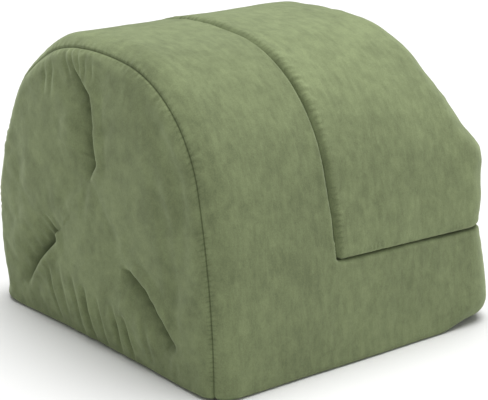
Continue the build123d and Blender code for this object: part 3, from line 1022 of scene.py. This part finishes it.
def tapes(body):
    """The zipper's two woven tapes, ribbed across, each with a corded edge beside the coil."""
    lo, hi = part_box(body + "_zip_tapes")
    x0, x1, zm = lo[0] / MM + 0.3, hi[0] / MM - 0.3, ZIPS[body][2]
    o = np.array([0, float(side_y(zm)), zm])
    v_ax, w_ax = axes_at(zm)
    verts, faces = [], []
    nx, nv = int((x1 - x0) / 0.9), 19
    for s in (-1, 1):
        start = len(verts)
        for i in range(nx + 1):
            for k in range(nv + 1):
                x, v = x0 + (x1 - x0) * i / nx, 0.45 + 0.59 * k
                w = -0.30 + 0.10 * math.sin(math.pi * (i + (k // 2) % 2)) + (0.09 if (i + k // 2) % 2 else -0.09) + 0.22 * math.exp(-((v - 1.0) / 0.6) ** 2)
                verts.append((o + np.array([x, 0, 0]) + v_ax * (s * v) + w_ax * w) * MM)
        m = len(verts) - start
        for i in range(nx + 1):
            for k in range(nv + 1):
                x, v = x0 + (x1 - x0) * i / nx, 0.45 + 0.59 * k
                verts.append((o + np.array([x, 0, 0]) + v_ax * (s * v) - w_ax * 1.3) * MM)
        at = lambda i, k: start + i * (nv + 1) + k
        flip = (lambda q: q) if s > 0 else (lambda q: q[::-1])
        for i in range(nx):
            for k in range(nv):
                q = (at(i, k), at(i, k + 1), at(i + 1, k + 1), at(i + 1, k))
                faces.append(flip(q)[::-1])
                faces.append(tuple(m + a for a in flip(q)))
        ring = [at(i, 0) for i in range(nx)] + [at(nx, k) for k in range(nv)] + [at(i, nv) for i in range(nx, 0, -1)] + [at(0, k) for k in range(nv, 0, -1)]
        for a, b in zip(ring, ring[1:] + ring[:1]):
            faces.append(flip((a, m + a, m + b, b)))
    ob = piece(body + "_tape_pair", verts, faces, mat_tape, body, body + "_zip_tapes")
    bm = bmesh.new()
    bm.from_mesh(ob.data)
    bmesh.ops.recalc_face_normals(bm, faces=bm.faces)
    bm.to_mesh(ob.data)
    bm.free()
    return ob


def on_cover(p, form, dress):
    q, n = project(form, p, 4)
    out, _ = dress(q, n)
    return out, n


def topstitch(body, form, dress):
    """A row of thread above and below the zipper, and across both its ends."""
    x0, x1, zm = ZIPS[body]
    v_ax, w_ax = axes_at(zm)
    off = ZIP_OPEN + 5.2
    runs = [((x0 - 3, s * off), (x1 + 3, s * off)) for s in (-1, 1)] + [((x, -off), (x, off)) for x in (x0 - 3, x1 + 3)]
    verts, faces, pts = [], [], []
    o = np.array([0, float(side_y(zm)), zm])
    for (xa, va), (xb, vb) in runs:
        n = int(math.hypot(xb - xa, vb - va) / 3.4)
        for k in range(n):
            for t in [(k + f) / n for f in (0.08, 0.25, 0.5, 0.75, 0.92)]:
                pts.append(o + np.array([xa + (xb - xa) * t, 0, 0]) + v_ax * (va + (vb - va) * t))
    out, nn = on_cover(np.array(pts), form, dress)
    path = out + nn * np.tile([-0.35, 0.12, 0.24, 0.12, -0.35], len(pts) // 5)[:, None]
    for k in range(0, len(pts), 5):
        tube(verts, faces, path[k:k + 5], [0.2, 0.27, 0.29, 0.27, 0.2], 6)
    return piece(body + "_topstitch", verts, faces, mat_thread, body, None)


def strip_grid(name, box, up, material, body, node, relief):
    """A tape as a thin closed strip with rounded corners, its free face raised by relief."""
    (ax, ay, az), (bx, by, bz) = [np.asarray(c) / MM for c in box]
    nx, ny = int((bx - ax) / 1.0), int((by - ay) / 1.0)
    gx, gy = np.meshgrid(np.linspace(ax, bx, nx + 1), np.linspace(ay, by, ny + 1), indexing="ij")
    r = 3.0
    cx = np.clip(gx, ax + r, bx - r)
    cy = np.clip(gy, ay + r, by - r)
    out = np.hypot(gx - cx, gy - cy)
    k = np.where(out > r, r / np.maximum(out, 1e-6), 1.0)
    px, py = cx + (gx - cx) * k, cy + (gy - cy) * k
    rim = np.minimum.reduce([gx - ax, bx - gx, gy - ay, by - gy])
    h = relief(px.ravel(), py.ravel(), rim.ravel()).reshape(px.shape)
    face = (az + 0.45 + h) if up else (bz - 0.45 - h)
    foot = np.full_like(face, az if up else bz)
    verts = np.concatenate([np.stack([px, py, face], -1).reshape(-1, 3), np.stack([px, py, foot], -1).reshape(-1, 3)]) * MM
    n = (nx + 1) * (ny + 1)
    ix = lambda i, j: i * (ny + 1) + j
    faces = []
    for i in range(nx):
        for j in range(ny):
            q = (ix(i, j), ix(i + 1, j), ix(i + 1, j + 1), ix(i, j + 1))
            faces.append(q if up else q[::-1])
            faces.append(tuple(n + a for a in (q[::-1] if up else q)))
    ring = [ix(i, 0) for i in range(nx)] + [ix(nx, j) for j in range(ny)] + [ix(i, ny) for i in range(nx, 0, -1)] + [ix(0, j) for j in range(ny, 0, -1)]
    for a, b in zip(ring, ring[1:] + ring[:1]):
        q = (a, n + a, n + b, b)
        faces.append(q if up else q[::-1])
    return piece(name, verts, faces, material, body, node)


def loops_relief(x, y, rim):
    p = np.stack([x, y, np.zeros_like(x)], 1)
    return smooth(rim / 2.0) * (0.42 + 0.20 * lattice(p, 2.3, 5) + 0.14 * lattice(p, 6.0, 8))


def hook_base(x, y, rim):
    return 0.06 * np.sin(y * 2.0) * smooth(rim / 2.0)


def hooks():
    (ax, ay, az), (bx, by, bz) = [np.asarray(c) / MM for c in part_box("hook_tape")]
    verts, faces = [], []
    z = bz - 0.45
    j = 0
    y = ay + 3.0
    while y < by - 3.0:
        x = ax + 2.6 + (0.9 if j % 2 else 0.0)
        while x < bx - 2.6:
            lean = 0.35 if j % 2 else -0.35
            tube(verts, faces, [(x, y, z + 0.05), (x, y + 0.1 * lean, z - 0.42), (x + 0.1, y + lean, z - 0.72), (x + 0.1, y + 1.7 * lean, z - 0.55)],
                 [0.20, 0.17, 0.15, 0.10], 4)
            x += 1.8
        y += 1.9
        j += 1
    return piece("hook_tape_hooks", verts, faces, mat_hook, "cushion", None)


coil("base")
coil("cushion")
tapes("base")
tapes("cushion")
topstitch("base", form_base, dress_base)
topstitch("cushion", form_cushion, dress_cushion)
strip_grid("loop_tape_pile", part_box("loop_tape"), True, mat_loop, "base", "loop_tape", loops_relief)
strip_grid("hook_tape_band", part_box("hook_tape"), False, mat_hook, "cushion", "hook_tape", hook_base)
hooks()

# the CAD's own small parts: their finish, and edges broken as die casting and stamping leave them
for node, material in (("base_zip_stops", mat_metal), ("cushion_zip_stops", mat_metal),
                       ("base_zip_slider", mat_metal), ("cushion_zip_slider", mat_metal),
                       ("base_zip_pull", mat_metal), ("cushion_zip_pull", mat_metal)):
    ob = bpy.data.objects[node]
    if not ob.material_slots:
        ob.data.materials.append(material)
    for slot in ob.material_slots:
        slot.material = material
    if material is mat_metal:
        mod = ob.modifiers.new("broken_edges", "BEVEL")
        mod.width = 0.00028
        mod.segments = 2
        mod.limit_method = "ANGLE"
        mod.angle_limit = math.radians(40)

SOFT_BASE = ["arch_foam_block", "plinth_foam_block", "left_end_wadding", "plinth_end_wadding", "left_end_panel",
             "base_right_panel", "base_bottom_panel", "step_panel", "base_wrap_panel"]
SOFT_CUSHION = ["cushion_foam_block", "cushion_end_wadding", "cushion_inner_panel", "cushion_bottom_panel",
                "cushion_end_panel", "cushion_wrap_panel"]
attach(base, "base")
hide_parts(*SOFT_BASE, "tuck_stitching")
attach(cushion, "cushion")
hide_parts(*SOFT_CUSHION)

# ---------------------------------------------------------------- floor, light, camera
floor = new_object("floor", [(-6, -6, 0), (6, -6, 0), (6, 6, 0), (-6, 6, 0)], [(0, 1, 2, 3)])
fm = bpy.data.materials.new("floor")
fm.use_nodes = True
fm.node_tree.nodes["Principled BSDF"].inputs["Base Color"].default_value = (0.78, 0.78, 0.78, 1)
fm.node_tree.nodes["Principled BSDF"].inputs["Roughness"].default_value = 0.9
floor.data.materials.append(fm)

world = bpy.data.worlds.new("studio")
bpy.context.scene.world = world
world.use_nodes = True
world.node_tree.nodes["Background"].inputs["Color"].default_value = (1, 1, 1, 1)
world.node_tree.nodes["Background"].inputs["Strength"].default_value = 0.37


def area(name, pos, target, size, power):
    data = bpy.data.lights.new(name, "AREA")
    data.shape = "SQUARE"
    data.size = size
    data.energy = power
    ob = bpy.data.objects.new(name, data)
    ob.location = pos
    ob.rotation_euler = (Vector(target) - Vector(pos)).to_track_quat("-Z", "Y").to_euler()
    bpy.context.scene.collection.objects.link(ob)


def sun(name, toward, angle, strength):
    data = bpy.data.lights.new(name, "SUN")
    data.angle = math.radians(angle)
    data.energy = strength
    ob = bpy.data.objects.new(name, data)
    ob.rotation_euler = Vector(toward).to_track_quat("Z", "Y").to_euler()
    bpy.context.scene.collection.objects.link(ob)


sun("key", (0.30, 0.09, 2.1), 50, 3.52)
area("fill", (0.9, -2.2, 1.0), (0, 0, 0.12), 1.4, 3)

cam_data = bpy.data.cameras.new("camera")
cam = bpy.data.objects.new("camera", cam_data)
bpy.context.scene.collection.objects.link(cam)
cam_data.sensor_width = 36.0
cam_data.sensor_fit = "HORIZONTAL"
cam_data.lens = VIEW["f"] / 488.0 * 36.0
cam_data.clip_end = 50
ca, ce, cr = (math.radians(VIEW[k]) for k in ("az", "el", "roll"))
back = Vector((math.sin(ca) * math.cos(ce), -math.cos(ca) * math.cos(ce), math.sin(ce)))
right = Vector((math.cos(ca), math.sin(ca), 0))
up = back.cross(right)
xc = math.cos(cr) * right + math.sin(cr) * up
yc = math.cos(cr) * up - math.sin(cr) * right
rot = Matrix((xc, yc, back)).transposed().to_4x4()
cam.matrix_world = Matrix.Translation(Vector(VIEW["pos"]) * MM) @ rot
bpy.context.scene.camera = cam
bpy.context.scene.view_settings.view_transform = "Standard"
